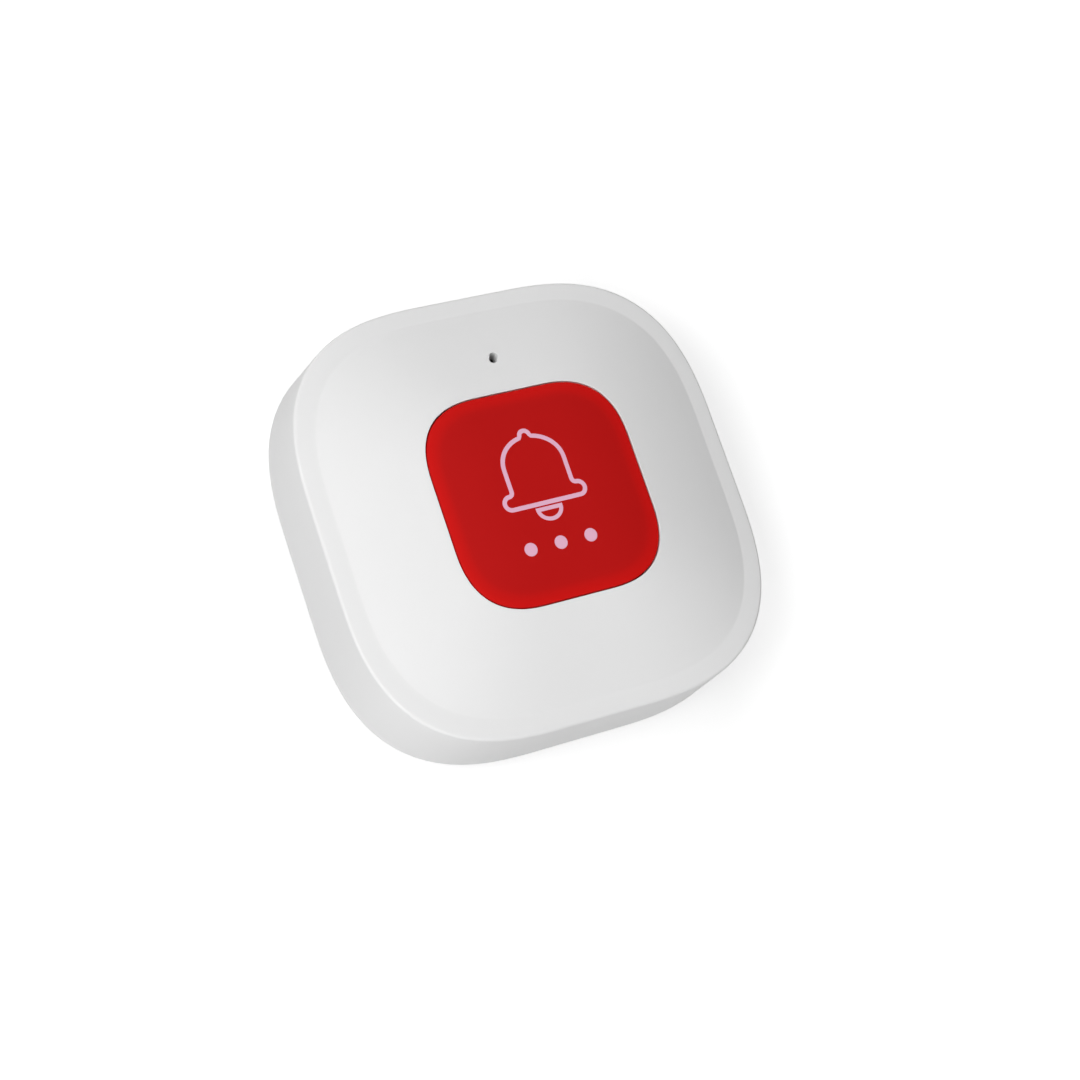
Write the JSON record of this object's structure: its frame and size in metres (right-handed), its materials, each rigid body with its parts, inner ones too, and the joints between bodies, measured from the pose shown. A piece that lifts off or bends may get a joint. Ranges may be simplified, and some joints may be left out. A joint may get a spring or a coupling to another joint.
{
  "type": "emergency call button",
  "caption": "Rounded square wireless call button: domed white case with a red press button, an indicator hole beside it, a flat back and a twist-off coin cell door.",
  "frame": {"origin": "centre of the flat back face", "axes": "+Z out of the front through the button, +Y from the button to the indicator hole, +X to the right seen from the front"},
  "size_m": [0.05, 0.05, 0.016],
  "materials": {
    "white_case": "fine satin moulded ABS",
    "red_button": "satin moulded ABS",
    "grey_rubber": "moulded silicone rubber",
    "screw_steel": "zinc plated steel",
    "green_laminate": "solder mask on glass laminate",
    "blue_laminate": "solder mask on glass laminate",
    "tinned_steel": "tinned sheet",
    "ceramic": "fired ceramic",
    "black_moulding": "moulded resin",
    "yellow_moulding": "moulded resin",
    "white_moulding": "moulded resin",
    "clear_resin": "clear cast resin",
    "spring_steel": "nickel plated spring strip",
    "cell_steel": "satin stainless steel"
  },
  "bodies": {
    "housing": {"front_shell": "white_case", "back_cover": "white_case", "cover_gasket": "grey_rubber", "cover_screws": "screw_steel", "circuit_board": "green_laminate", "board_screws": "screw_steel", "radio_board": "blue_laminate", "radio_shield_can": "tinned_steel", "chip_antenna": "ceramic", "controller_chip": "black_moulding", "clock_crystal": "tinned_steel", "voltage_regulator": "black_moulding", "bulk_capacitor": "yellow_moulding", "chip_passives": "ceramic", "led_body": "white_moulding", "led_lens": "clear_resin", "switch_base": "black_moulding", "switch_terminals": "tinned_steel", "switch_cover_plate": "tinned_steel", "switch_dome": "spring_steel", "battery_holder": "black_moulding", "positive_contact": "spring_steel", "negative_contact": "spring_steel", "coin_cell": "cell_steel"},
    "button": {"call_button": "red_button"},
    "plunger": {"switch_plunger": "black_moulding"},
    "door": {"battery_door": "white_case", "door_seal": "grey_rubber"}
  },
  "joints": [
    {"name": "button_press", "type": "slide", "parent": "housing", "child": "button", "axis": [0, 0, -1], "range_m": [0, 0.0005], "stiffness_N_per_m": 2500, "springref_m": -0.0003},
    {"name": "plunger_press", "type": "slide", "parent": "housing", "child": "plunger", "axis": [0, 0, -1], "range_m": [0, 0.0005], "deforming": ["switch_dome"]},
    {"name": "door_twist", "type": "hinge", "parent": "housing", "child": "door", "pos_m": [0, 0, 0.001], "axis": [0, 0, -1], "range_deg": [0, 40]}
  ],
  "couplings": [
    {"joint": "plunger_press", "follows": "button_press", "ratio": 1}
  ]
}
